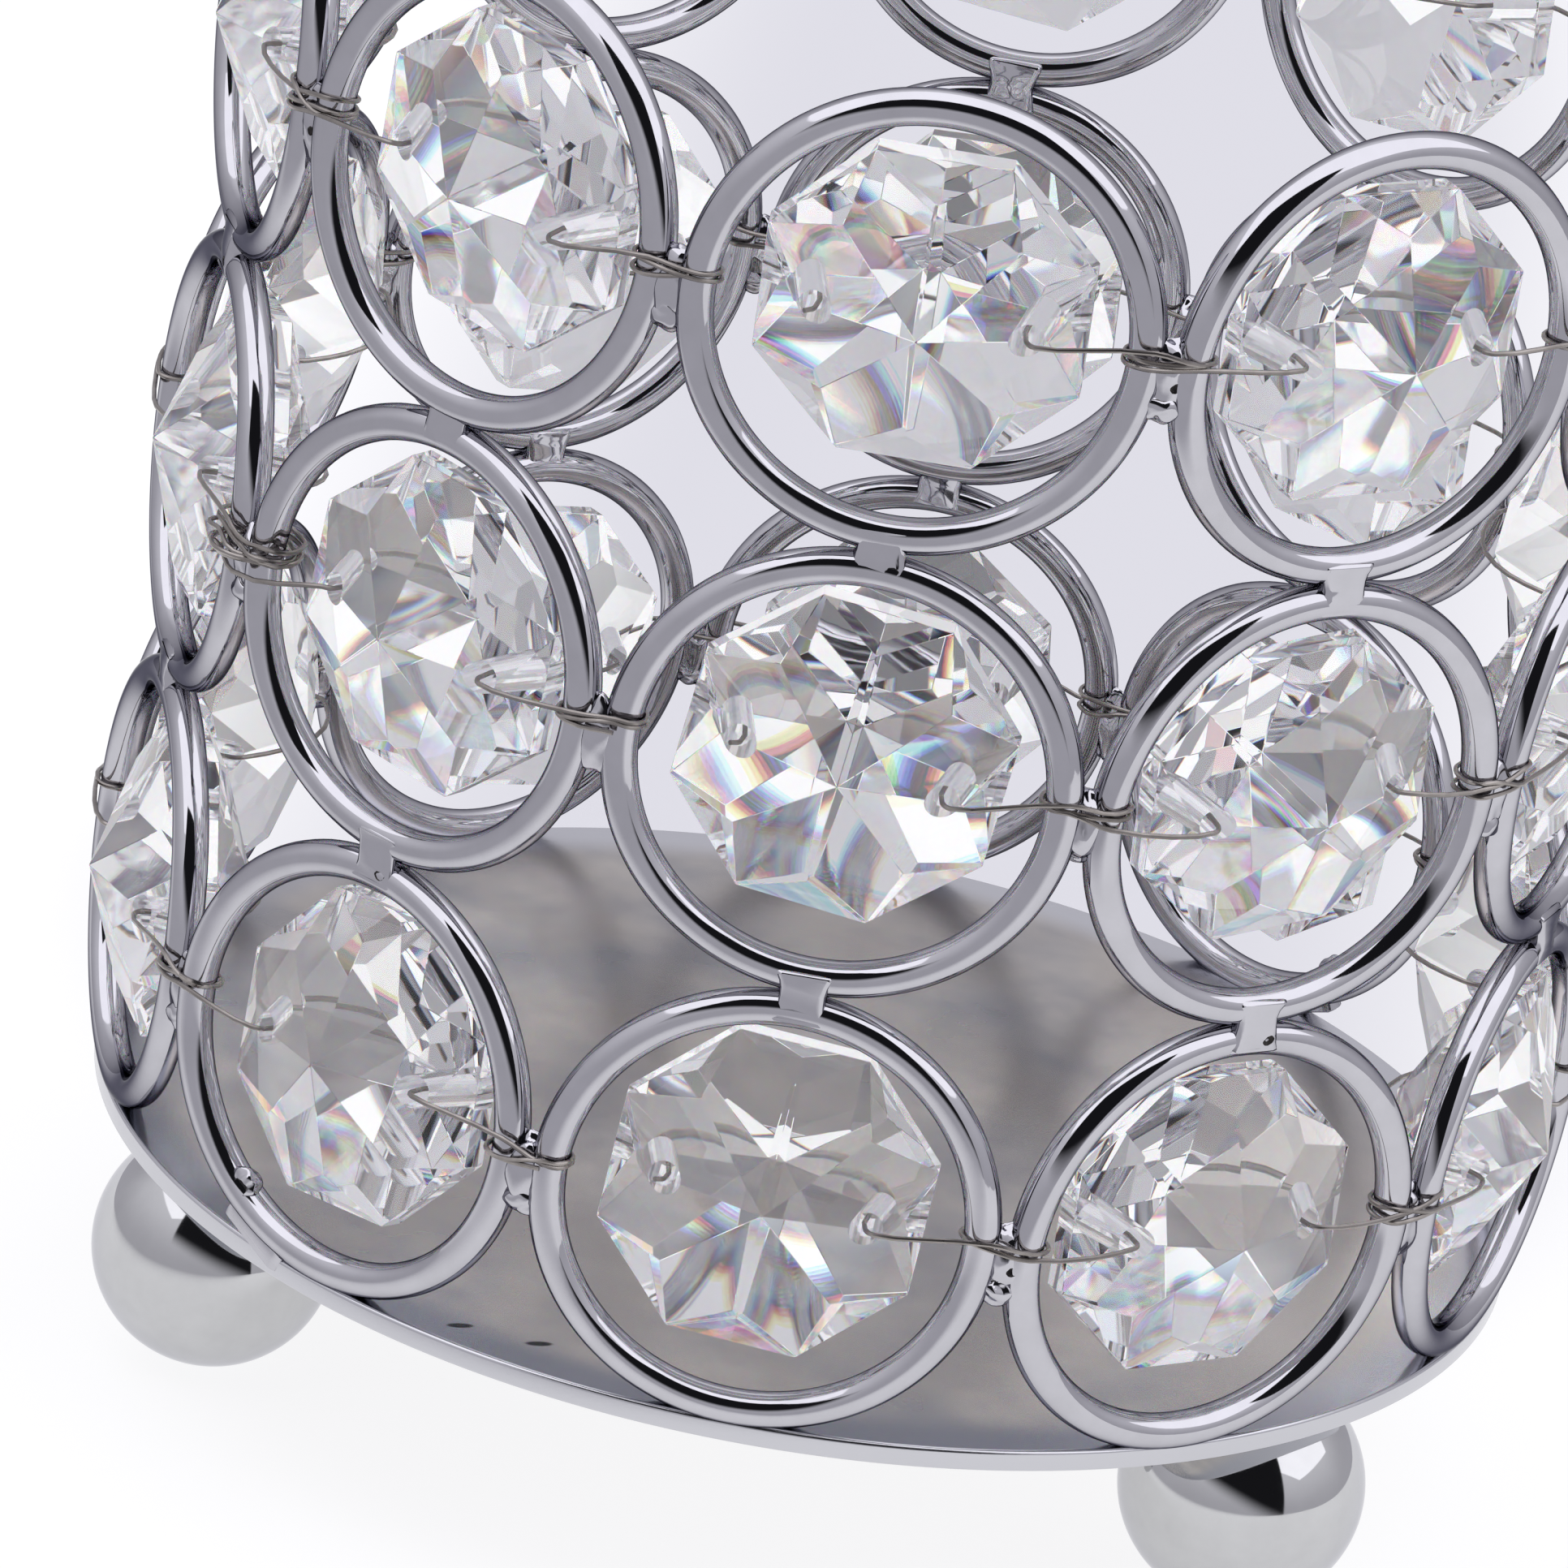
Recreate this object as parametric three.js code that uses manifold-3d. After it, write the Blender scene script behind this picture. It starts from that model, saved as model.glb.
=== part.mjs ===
// Crystal votive holder: a drum of welded chrome rings with a cut-glass bead strung in every ring,
// on a thin round plate with ball feet. Millimetres and degrees, +Z up, the front faces -Y, the floor is Z = 0.

import * as THREE from 'three';
import { mergeVertices } from 'three/addons/utils/BufferGeometryUtils.js';
import Module from 'manifold-3d';

const wasm = await Module();
wasm.setup();

// Beads: octagons faceted to a point on both faces, with two holes from front to back
const BEAD_WIDTH = 14;
const BEAD_THICKNESS = 7.6;
const BEAD_GIRDLE = 1.2;
const STAR_RADIUS = 4.2;
const HOLE_DIAMETER = 1.5;
const HOLE_EDGE = 2.5;
const BEAD_SIDES = 8;

// Every bead hangs a little askew: the tight wire runs above the rings' middle and holds the bead inside
// the ring's plane, and the bead leans about that wire and is rolled in its ring
const BEAD_INSET = 1;
const STRING_LIFT = 0.5;
const LEAN = { most: 6, step: 81, start: -90 };
const ROLL = { most: 7, step: 152, start: 33 };

// Rings: each goes round its bead, and is welded to its neighbours above and beside it with flat tabs
const COLUMN_COUNT = 10;
const ROW_NAMES = ['bottom', 'middle', 'top'];
const RING_WIRE = 1.65;
const BEAD_CLEARANCE = 1.2;
const ROW_WELD_SINK = 0.1;
const PLATE_WELD_SINK = 0.35;
const WELD_GAP = 0.3;
const TAB_WIDTH = 2;
const TAB_HEIGHT = 2.8;
const TAB_DEPTH = 1.2;

// Stringing wires: one per row, lashed round every joint between two columns
const WIRE_DIAMETER = 0.3;
const WIRE_LIFT = 0.3;
const WIRE_BEND = 0.4;
const LASHING_CLEARANCE = 0.2;
const LASHING_PITCH = 1.25;
const LASHING_TURNS = 1;

// Base plate and ball feet
const PLATE_THICKNESS = 1;
const PLATE_OVERHANG = 0.6;
const PLATE_ROUND = 0.35;
const FOOT_DIAMETER = 11.3;
const FOOT_FLAT = 0.12;
const FOOT_WELD_SINK = 0.25;
const FOOT_INSET = 5.3;
const FOOT_NAMES = ['right', 'back', 'left'];
const FOOT_START_ANGLE = 55;

// Facets
const RING_STEPS = 18;
const RING_SIDES = 6;
const HOLE_SIDES = 6;
const WIRE_SIDES = 4;
const LASHING_ARC = [30, -30];
const PLATE_STEPS = 40;
const ROUND_STEPS = 3;
const FOOT_STEPS = 18;
const FOOT_RISE_STEPS = 9;

// Sizes that follow
const radians = THREE.MathUtils.degToRad;
const BEAD_APOTHEM = BEAD_WIDTH / 2;
const BEAD_CORNER = BEAD_APOTHEM / Math.cos(Math.PI / BEAD_SIDES);
const BEAD_RISE = BEAD_THICKNESS / 2;
const GIRDLE_RISE = BEAD_GIRDLE / 2;
const STAR_SHARE = STAR_RADIUS * Math.cos(Math.PI / BEAD_SIDES) / BEAD_CORNER;
const STAR_RISE = BEAD_RISE - (BEAD_RISE - GIRDLE_RISE) * STAR_SHARE;
const HOLE_X = BEAD_APOTHEM - HOLE_EDGE;

const WIRE_RADIUS = WIRE_DIAMETER / 2;
const RING_TUBE = RING_WIRE / 2;
const RING_RADIUS = BEAD_CORNER + BEAD_CLEARANCE + RING_TUBE;
const RING_OUTER = RING_RADIUS + RING_TUBE;
const HALF_COLUMN = Math.PI / COLUMN_COUNT;
const JOINT_HALF = RING_TUBE + WELD_GAP / 2;
const WALL_RADIUS = (JOINT_HALF + RING_RADIUS * Math.cos(HALF_COLUMN)) / Math.sin(HALF_COLUMN);
const JOINT_RADIUS = WALL_RADIUS * Math.cos(HALF_COLUMN) + RING_RADIUS * Math.sin(HALF_COLUMN);

const FOOT_RADIUS = FOOT_DIAMETER / 2;
const FOOT_CENTRE = FOOT_RADIUS - FOOT_FLAT;
const PLATE_BOTTOM = FOOT_CENTRE + FOOT_RADIUS - FOOT_WELD_SINK;
const PLATE_TOP = PLATE_BOTTOM + PLATE_THICKNESS;
const PLATE_RADIUS = WALL_RADIUS + PLATE_OVERHANG;
const FOOT_CIRCLE = PLATE_RADIUS - FOOT_INSET;
const ROW_PITCH = 2 * RING_OUTER - ROW_WELD_SINK;
const ROW_HEIGHTS = ROW_NAMES.map((name, row) => PLATE_TOP + RING_OUTER - PLATE_WELD_SINK + row * ROW_PITCH);
const STRING_HEIGHTS = ROW_HEIGHTS.map((height) => height + STRING_LIFT);

// Materials
const chrome = new THREE.MeshStandardMaterial({ color: 0xd6d8de, metalness: 1, roughness: 0.06 });
const satin = new THREE.MeshStandardMaterial({ color: 0xaaa7a4, metalness: 1, roughness: 0.35 });
const steel = new THREE.MeshStandardMaterial({ color: 0x8f8c88, metalness: 1, roughness: 0.3 });
const glass = new THREE.MeshStandardMaterial({ color: 0xf2f5f8, metalness: 0, roughness: 0.02 });
glass.transparent = true;
glass.opacity = 0.4;

// Turns a closed three.js geometry into a solid that can be joined and cut
function solidOf(geometry) {
  const bare = geometry.clone();
  bare.deleteAttribute('normal');
  bare.deleteAttribute('uv');
  const welded = mergeVertices(bare);
  const vertProperties = Float32Array.from(welded.attributes.position.array);
  const triVerts = Uint32Array.from(welded.index.array);
  return new wasm.Manifold(new wasm.Mesh({ numProp: 3, vertProperties, triVerts }));
}

function geometryOf(solid) {
  const cut = solid.getMesh();
  return meshGeometry(cut.vertProperties, cut.triVerts);
}

function meshGeometry(positions, triangles) {
  const geometry = new THREE.BufferGeometry();
  geometry.setAttribute('position', new THREE.BufferAttribute(Float32Array.from(positions), 3));
  geometry.setIndex(new THREE.BufferAttribute(Uint32Array.from(triangles), 1));
  geometry.computeVertexNormals();
  return geometry;
}

function lathe(profile, steps) {
  const points = profile.map(([radius, height]) => new THREE.Vector2(radius, height));
  return new THREE.LatheGeometry(points, steps).rotateX(Math.PI / 2);
}

function angleOf(column) {
  return 2 * HALF_COLUMN * column;
}

// Bead

function beadPoint(radius, turn, rise) {
  return [radius * Math.cos(turn), rise, radius * Math.sin(turn)];
}

// One faceted face: kites from the point to the corners, and a triangle on every edge
function beadFace(side, positions, triangles) {
  const first = positions.length;
  const half = Math.PI / BEAD_SIDES;
  positions.push([0, side * BEAD_RISE, 0]);
  for (let k = 0; k < BEAD_SIDES; k += 1) {
    positions.push(beadPoint(STAR_RADIUS, 2 * half * k, side * STAR_RISE));
    positions.push(beadPoint(BEAD_CORNER, 2 * half * k + half, side * GIRDLE_RISE));
  }
  const star = (k) => first + 1 + 2 * ((k + BEAD_SIDES) % BEAD_SIDES);
  const corner = (k) => star(k) + 1;
  for (let k = 0; k < BEAD_SIDES; k += 1) {
    const facets = [
      [first, star(k), corner(k)],
      [first, corner(k), star(k + 1)],
      [star(k), corner(k - 1), corner(k)],
    ];
    for (const [a, b, c] of facets) triangles.push(...(side < 0 ? [a, b, c] : [a, c, b]));
  }
  return corner;
}

function beadBlank() {
  const positions = [];
  const triangles = [];
  const front = beadFace(-1, positions, triangles);
  const back = beadFace(1, positions, triangles);
  for (let k = 0; k < BEAD_SIDES; k += 1) {
    triangles.push(front(k), back(k + 1), front(k + 1));
    triangles.push(front(k), back(k), back(k + 1));
  }
  return meshGeometry(positions.flat(), triangles);
}

function beadGeometry() {
  const drillRadius = HOLE_DIAMETER / 2 / Math.cos(Math.PI / HOLE_SIDES);
  const drill = new THREE.CylinderGeometry(drillRadius, drillRadius, 2 * BEAD_THICKNESS, HOLE_SIDES);
  const left = solidOf(drill.clone().translate(-HOLE_X, 0, 0));
  const right = solidOf(drill.clone().translate(HOLE_X, 0, 0));
  return geometryOf(solidOf(beadBlank()).subtract(left).subtract(right));
}

// Height of the glass above the bead's middle, on the line through its holes
function crownAt(x) {
  if (x < STAR_RADIUS) return BEAD_RISE - (BEAD_RISE - STAR_RISE) * x / STAR_RADIUS;
  return STAR_RISE - (STAR_RISE - GIRDLE_RISE) * (x - STAR_RADIUS) / (BEAD_APOTHEM - STAR_RADIUS);
}

function hang({ most, step, start }, row, column) {
  return radians(most * Math.sin(radians(start + step * (row * COLUMN_COUNT + column))));
}

// Rest place of a bead in its column: rolled about the ring's axis, then leaned about its own wire
function placeBead(object, row, column) {
  object.rotation.set(hang(LEAN, row, column), hang(ROLL, row, column), 0, 'YXZ');
  object.position.set(0, BEAD_INSET - WALL_RADIUS, STRING_HEIGHTS[row]);
}

// Ring column

function block(width, depth, height) {
  return new THREE.BoxGeometry(width, depth, height);
}

function columnGeometry() {
  const ring = new THREE.TorusGeometry(RING_RADIUS, RING_TUBE, RING_SIDES, RING_STEPS).rotateX(Math.PI / 2);
  const rings = ROW_HEIGHTS.map((height) => solidOf(ring.clone().translate(0, -WALL_RADIUS, height)));
  let column = rings.reduce((joined, next) => joined.add(next));
  for (const height of ROW_HEIGHTS.slice(1)) {
    const tab = block(TAB_WIDTH, TAB_DEPTH, TAB_HEIGHT).translate(0, -WALL_RADIUS, height - ROW_PITCH / 2);
    column = column.add(solidOf(tab));
  }
  for (const height of ROW_HEIGHTS) {
    const tab = block(TAB_WIDTH, TAB_DEPTH, TAB_HEIGHT).translate(0, -JOINT_RADIUS, height);
    for (const side of [-HALF_COLUMN, HALF_COLUMN]) column = column.add(solidOf(tab.clone().rotateZ(side)));
  }
  const reach = 2 * ROW_PITCH * ROW_NAMES.length;
  const shift = reach / 2 - WELD_GAP / 2;
  const right = block(reach, 2 * reach, 2 * reach).translate(shift, 0, 0).rotateZ(HALF_COLUMN);
  const left = block(reach, 2 * reach, 2 * reach).translate(-shift, 0, 0).rotateZ(-HALF_COLUMN);
  const plate = block(reach, reach, reach).translate(0, 0, PLATE_TOP - reach / 2);
  return geometryOf(column.subtract(solidOf(right)).subtract(solidOf(left)).subtract(solidOf(plate)));
}

// Stringing wire

// In at the left hole, across behind the bead's point, and out at the right hole
function beadRoute(row, column) {
  const lift = WIRE_LIFT + WIRE_RADIUS;
  const mouth = crownAt(HOLE_X) + lift;
  const behind = crownAt(HOLE_X - WIRE_BEND) + lift;
  const half = [
    [HOLE_X + WIRE_BEND, -mouth],
    [HOLE_X, WIRE_BEND - mouth],
    [HOLE_X, mouth - WIRE_BEND],
    [HOLE_X - WIRE_BEND, behind],
  ];
  const left = half.map(([x, y]) => [-x, y]);
  const route = [...left, [0, BEAD_RISE + lift], ...half.reverse()];

  const holder = new THREE.Object3D();
  placeBead(holder, row, column);
  holder.updateMatrix();
  const turn = new THREE.Matrix4().makeRotationZ(angleOf(column));
  const place = turn.multiply(holder.matrix);
  return route.map(([x, y]) => new THREE.Vector3(x, y, 0).applyMatrix4(place));
}

// Stations round a joint, seen from above: over the front, round the right, behind, round the left
function lashingStations() {
  const reach = (RING_TUBE + LASHING_CLEARANCE + WIRE_RADIUS) / Math.cos(radians(LASHING_ARC[0]));
  const ends = LASHING_ARC.map((angle) => [reach * Math.cos(radians(angle)), reach * Math.sin(radians(angle))]);
  const right = [[0, reach], ...ends, [0, -reach]].map(([along, out]) => [JOINT_HALF + along, out]);
  const left = right.map(([along, out]) => [-along, -out]);
  return [left[left.length - 1], ...right, ...left.slice(0, -1)];
}

function lashingRoute(row, column, from, to) {
  const stations = lashingStations();
  const angle = angleOf(column) + HALF_COLUMN;
  const route = [];
  for (let i = from; i <= to; i += 1) {
    const [along, out] = stations[i % stations.length];
    const drop = LASHING_PITCH * (LASHING_TURNS / 2 - i / stations.length);
    const radius = JOINT_RADIUS + out;
    const x = radius * Math.sin(angle) + along * Math.cos(angle);
    const y = -radius * Math.cos(angle) + along * Math.sin(angle);
    route.push(new THREE.Vector3(x, y, STRING_HEIGHTS[row] + drop));
  }
  return route;
}

// The wire starts on the front of a joint and ends behind the same joint, after a whole round
function wireRoute(row) {
  const turn = lashingStations().length;
  const whole = turn * LASHING_TURNS;
  const route = lashingRoute(row, -1, whole, whole + 1);
  for (let column = 0; column < COLUMN_COUNT; column += 1) {
    const last = column === COLUMN_COUNT - 1;
    route.push(...beadRoute(row, column));
    route.push(...lashingRoute(row, column, 0, last ? whole - LASHING_ARC.length : whole + 1));
  }
  return route;
}

function sweep(route, radius, sides) {
  const positions = [];
  const triangles = [];
  const steps = route.slice(1).map((point, i) => point.clone().sub(route[i]).normalize());
  const along = route.map((point, i) => {
    const before = steps[Math.max(i - 1, 0)];
    const after = steps[Math.min(i, steps.length - 1)];
    return before.clone().add(after).normalize();
  });
  const normal = new THREE.Vector3(0, 0, 1).cross(along[0]).normalize();
  route.forEach((point, i) => {
    if (i > 0) normal.applyQuaternion(new THREE.Quaternion().setFromUnitVectors(along[i - 1], along[i]));
    const across = along[i].clone().cross(normal);
    for (let k = 0; k < sides; k += 1) {
      const turn = 2 * Math.PI * (k + 0.5) / sides;
      const corner = point.clone();
      corner.addScaledVector(normal, radius * Math.cos(turn)).addScaledVector(across, radius * Math.sin(turn));
      positions.push(...corner.toArray());
    }
  });
  const last = (route.length - 1) * sides;
  for (let ring = 0; ring < last; ring += sides) {
    for (let k = 0; k < sides; k += 1) {
      const next = (k + 1) % sides;
      triangles.push(ring + k, ring + next, ring + sides + next);
      triangles.push(ring + k, ring + sides + next, ring + sides + k);
    }
  }
  for (let k = 1; k < sides - 1; k += 1) {
    triangles.push(0, k + 1, k);
    triangles.push(last, last + k, last + k + 1);
  }
  return meshGeometry(positions, triangles);
}

// Least gap of a wire to itself, between places farther apart along it than one lashing turn's half
function leastGap(route) {
  const sampleStep = WIRE_DIAMETER;
  const apart = Math.PI * RING_TUBE;
  const samples = [];
  let length = 0;
  for (let i = 1; i < route.length; i += 1) {
    const span = route[i].distanceTo(route[i - 1]);
    const count = Math.ceil(span / sampleStep);
    for (let k = 0; k < count; k += 1) {
      samples.push({ point: route[i - 1].clone().lerp(route[i], k / count), at: length + span * k / count });
    }
    length += span;
  }
  let least = Infinity;
  samples.forEach((a, i) => {
    for (let j = i + 1; j < samples.length; j += 1) {
      if (samples[j].at - a.at < apart) continue;
      least = Math.min(least, a.point.distanceTo(samples[j].point));
    }
  });
  return least - WIRE_DIAMETER;
}

// Base

function plateGeometry() {
  const edge = [];
  for (let i = 0; i <= ROUND_STEPS; i += 1) {
    const turn = Math.PI / 2 * i / ROUND_STEPS;
    const radius = PLATE_RADIUS - PLATE_ROUND + PLATE_ROUND * Math.cos(turn);
    edge.push([radius, PLATE_TOP - PLATE_ROUND + PLATE_ROUND * Math.sin(turn)]);
  }
  return lathe([[0, PLATE_BOTTOM], [PLATE_RADIUS, PLATE_BOTTOM], ...edge, [0, PLATE_TOP]], PLATE_STEPS);
}

function footGeometry() {
  const lowest = Math.PI - Math.acos(1 - FOOT_FLAT / FOOT_RADIUS);
  const highest = Math.acos(1 - FOOT_WELD_SINK / FOOT_RADIUS);
  const profile = [[0, 0]];
  for (let i = 0; i <= FOOT_RISE_STEPS; i += 1) {
    const angle = THREE.MathUtils.lerp(lowest, highest, i / FOOT_RISE_STEPS);
    profile.push([FOOT_RADIUS * Math.sin(angle), FOOT_CENTRE + FOOT_RADIUS * Math.cos(angle)]);
  }
  profile.push([0, PLATE_BOTTOM]);
  return lathe(profile, FOOT_STEPS);
}

// Assembly

const holder = new THREE.Group();
const twoDigits = (number) => String(number).padStart(2, '0');

function addMesh(parent, name, geometry, material) {
  const mesh = new THREE.Mesh(geometry, material);
  mesh.name = name;
  parent.add(mesh);
  return mesh;
}

addMesh(holder, 'base_plate', plateGeometry(), satin);

const ballFoot = footGeometry();
FOOT_NAMES.forEach((side, index) => {
  const angle = radians(FOOT_START_ANGLE) + 2 * Math.PI * index / FOOT_NAMES.length;
  const foot = addMesh(holder, `ball_foot_${side}`, ballFoot, chrome);
  foot.position.set(FOOT_CIRCLE * Math.sin(angle), -FOOT_CIRCLE * Math.cos(angle), 0);
});

const ringColumn = columnGeometry();
const cutBead = beadGeometry();
for (let column = 0; column < COLUMN_COUNT; column += 1) {
  const number = twoDigits(column + 1);
  const group = new THREE.Group();
  group.rotation.z = angleOf(column);
  holder.add(group);
  addMesh(group, `ring_column_${number}`, ringColumn, chrome);
  ROW_NAMES.forEach((name, row) => placeBead(addMesh(group, `bead_${name}_${number}`, cutBead, glass), row, column));
}

ROW_NAMES.forEach((name, row) => {
  const route = wireRoute(row);
  addMesh(holder, `stringing_wire_${name}`, sweep(route, WIRE_RADIUS, WIRE_SIDES), steel);
  console.log(`stringing_wire_${name}: least gap to itself ${leastGap(route).toFixed(2)} mm`);
});

export default holder;
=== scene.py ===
# %% [markdown]
# # Crystal votive holder
#
# This holder is a small open drum for a candle. Thirty chrome rings, ten round and three high, are welded
# edge to edge on a thin satin plate, and three polished balls carry the plate. A cut-glass octagon hangs
# in every ring on a thin wire that runs round each row.
#
# The lesson builds the holder as a maker would, piece by piece: feet, plate, rings with their welds,
# beads, wires. All sizes are in millimetres on the bench. A piece is scaled to metres when it goes into
# the frame. The CAD frame says where every piece belongs.

import math
import random

import bmesh
import bpy
from mathutils import Matrix, Vector, noise


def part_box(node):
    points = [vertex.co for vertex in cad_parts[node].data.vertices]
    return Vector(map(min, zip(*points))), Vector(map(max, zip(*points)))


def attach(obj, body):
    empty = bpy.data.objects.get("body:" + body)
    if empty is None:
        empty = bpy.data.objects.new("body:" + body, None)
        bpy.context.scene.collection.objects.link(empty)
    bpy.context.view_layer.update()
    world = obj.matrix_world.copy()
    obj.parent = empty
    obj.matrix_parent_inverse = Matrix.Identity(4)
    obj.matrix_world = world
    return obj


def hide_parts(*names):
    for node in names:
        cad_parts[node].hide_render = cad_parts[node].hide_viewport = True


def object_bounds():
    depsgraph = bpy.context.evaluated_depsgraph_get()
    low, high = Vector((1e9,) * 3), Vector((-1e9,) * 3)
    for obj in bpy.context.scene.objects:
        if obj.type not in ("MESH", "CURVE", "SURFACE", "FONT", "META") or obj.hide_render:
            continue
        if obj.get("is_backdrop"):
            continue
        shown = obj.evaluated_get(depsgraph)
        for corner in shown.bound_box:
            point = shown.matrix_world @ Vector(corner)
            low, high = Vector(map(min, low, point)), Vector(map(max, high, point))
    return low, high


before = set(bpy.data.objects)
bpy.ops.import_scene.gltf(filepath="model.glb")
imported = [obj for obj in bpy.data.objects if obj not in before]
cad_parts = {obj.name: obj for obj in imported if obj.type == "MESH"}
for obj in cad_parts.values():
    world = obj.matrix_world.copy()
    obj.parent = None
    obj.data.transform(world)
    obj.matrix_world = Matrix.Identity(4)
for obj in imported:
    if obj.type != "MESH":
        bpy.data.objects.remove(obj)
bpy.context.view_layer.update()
scene = bpy.context.scene
MM = 0.001

# %% [markdown]
# ## From the bench to the frame
#
# Bench pieces are small meshes in millimetres, because Blender's cutting and merging tools work with
# fixed tolerances that suit numbers near one better than numbers near a thousandth. One function turns
# the faces of a closed shape outward. Recalculated normals can still come out inside out on a ragged
# lump, and then its signed volume is below zero. Another function takes a finished bench piece, scales it
# to metres and hangs it on the CAD body that it moves with.

# %% One way into the frame
SHARP_ANGLE = math.radians(38)


def turn_outward(bench):
    bmesh.ops.recalc_face_normals(bench, faces=bench.faces)
    if bench.calc_volume(signed=True) < 0:
        bmesh.ops.reverse_faces(bench, faces=bench.faces)


def keep_piece(name, bench, finishes, body, node, smooth=True):
    bmesh.ops.scale(bench, vec=(MM, MM, MM), verts=bench.verts)
    for face in bench.faces:
        face.smooth = smooth
    mesh = bpy.data.meshes.new(name)
    bench.to_mesh(mesh)
    bench.free()
    if smooth:
        mesh.set_sharp_from_angle(angle=SHARP_ANGLE)
    for finish in finishes:
        mesh.materials.append(finish)
    piece = bpy.data.objects.new(name, mesh)
    scene.collection.objects.link(piece)
    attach(piece, body)
    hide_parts(node)
    return piece


# %% [markdown]
# ## Shader helpers
#
# Every finish below is mixed from noise and simple sums. These helpers only place a node and join it, so
# that a finish reads as a recipe.

# %% Node helpers
def new_finish(name):
    finish = bpy.data.materials.new(name)
    finish.use_nodes = True
    finish.node_tree.nodes.clear()
    return finish, finish.node_tree


def put(tree, kind, inputs=None, **settings):
    made = tree.nodes.new(kind)
    for key, value in settings.items():
        setattr(made, key, value)
    for key, value in (inputs or {}).items():
        if isinstance(value, bpy.types.NodeSocket):
            tree.links.new(value, made.inputs[key])
        else:
            made.inputs[key].default_value = value
    return made


def calc(tree, operation, *values, clamp=False):
    made = put(tree, "ShaderNodeMath", dict(enumerate(values)), operation=operation, use_clamp=clamp)
    return made.outputs[0]


def ease(tree, value, start, end):
    limits = {"Value": value, "From Min": start, "From Max": end}
    return put(tree, "ShaderNodeMapRange", limits, interpolation_type="SMOOTHSTEP").outputs["Result"]


def spread(tree, value, low, high, start=0.3, end=0.7):
    limits = {"Value": value, "From Min": start, "From Max": end, "To Min": low, "To Max": high}
    return put(tree, "ShaderNodeMapRange", limits).outputs["Result"]


def blend(tree, share, first, second):
    mix = put(tree, "ShaderNodeMix", {0: share, 6: first, 7: second}, data_type="RGBA")
    return mix.outputs[2]


def grain(tree, scale, detail=3.0, rough=0.55, stretch=None):
    place = put(tree, "ShaderNodeTexCoord").outputs["Object"]
    if stretch:
        place = put(tree, "ShaderNodeMapping", {"Vector": place, "Scale": stretch}).outputs["Vector"]
    settings = {"Vector": place, "Scale": scale, "Detail": detail, "Roughness": rough}
    return put(tree, "ShaderNodeTexNoise", settings).outputs[0]


def bump(tree, height, distance):
    settings = {"Height": height, "Distance": distance, "Strength": 1.0}
    return put(tree, "ShaderNodeBump", settings).outputs["Normal"]


def finish_with(tree, shader):
    out = put(tree, "ShaderNodeOutputMaterial")
    tree.links.new(shader, out.inputs["Surface"])


# %% [markdown]
# ## Metal finishes
#
# The rings and balls are steel with a bright chromium plate. Chromium is darker than silver, it sends
# back a little over half of the light, and it is slightly blue. A plain mirror colour would do for a
# distant view. Close up the plating is never dead flat: a faint waviness bends the reflected edges, and
# handling leaves it a trace duller in places, so both are mixed in from noise.

# %% Bright chrome
RING_BRIGHT = (0.560, 0.554, 0.594, 1)
RING_DULL = (0.522, 0.517, 0.552, 1)
# The rings' near-black edge tint is a painted shade. It darkens each tube where it turns away, as a dark
# outline.
RING_EDGE_SHADE = (0.14, 0.14, 0.17, 1)
BALL_BRIGHT = (0.590, 0.592, 0.602, 1)
BALL_DULL = (0.555, 0.556, 0.566, 1)
BALL_EDGE = (0.85, 0.85, 0.88, 1)
WAVE_DEPTH = 0.00003


def plated(name, bright, dull, edge):
    finish, tree = new_finish(name)
    wave = grain(tree, 210, 2.0, 0.4)
    handled = grain(tree, 620, 4.0)
    tone = blend(tree, spread(tree, handled, 0.0, 1.0), bright, dull)
    settings = {"Base Color": tone, "Metallic": 1.0, "Specular Tint": edge}
    metal = put(tree, "ShaderNodeBsdfPrincipled", settings)
    tree.links.new(spread(tree, handled, 0.025, 0.075), metal.inputs["Roughness"])
    tree.links.new(bump(tree, wave, WAVE_DEPTH), metal.inputs["Normal"])
    finish_with(tree, metal.outputs["BSDF"])
    return finish


chrome = plated("bright_chrome", RING_BRIGHT, RING_DULL, RING_EDGE_SHADE)
ball_chrome = plated("ball_chrome", BALL_BRIGHT, BALL_DULL, BALL_EDGE)
print("chrome:", chrome.name, ball_chrome.name)

# %% [markdown]
# ### Satin face
#
# The plate has a satin face that blurs what it mirrors. Its cloudy warm and cool patches are a painted
# reflection that stands in for the blurred reflections of the rings and beads, and a second noise mixes in
# brownish patches. A pool of reflected light is painted on the right side. The border is smoother, and its
# tone is a painted reflection, darker towards the front left and lighter at the back. The sheared edge
# carries a painted highlight, and two small dark marks near the front are the painted shade of two dents
# from the press. Painting this by hand would need a picture. Noise for the clouds and plain distances for
# the rest keep every mark where it belongs.

# %% Satin face
PAINTED_REFLECTION_WARM = (0.660, 0.622, 0.575, 1)
PAINTED_REFLECTION_COOL = (0.410, 0.408, 0.428, 1)
BROWN_PATCH_TONE = (0.600, 0.545, 0.480, 1)
PAINTED_LIGHT_TONE = (0.820, 0.775, 0.715, 1)
PAINTED_LIGHT_PLACE = (0.027, -0.008, 0)
PAINTED_LIGHT_EASE = (0.021, 0.006)
PAINTED_LIGHT_SHARE = 0.85
BORDER_EASE = (0.0295, 0.0322)
PAINTED_BORDER_SLOPE = (0.8, 1, 0)
PAINTED_SLOPE_EASE = (-0.020, 0.012)
PAINTED_BORDER_DARK = (0.325, 0.335, 0.380, 1)
PAINTED_BORDER_LIGHT = (0.720, 0.725, 0.770, 1)
BORDER_SLICK = 0.05
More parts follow.
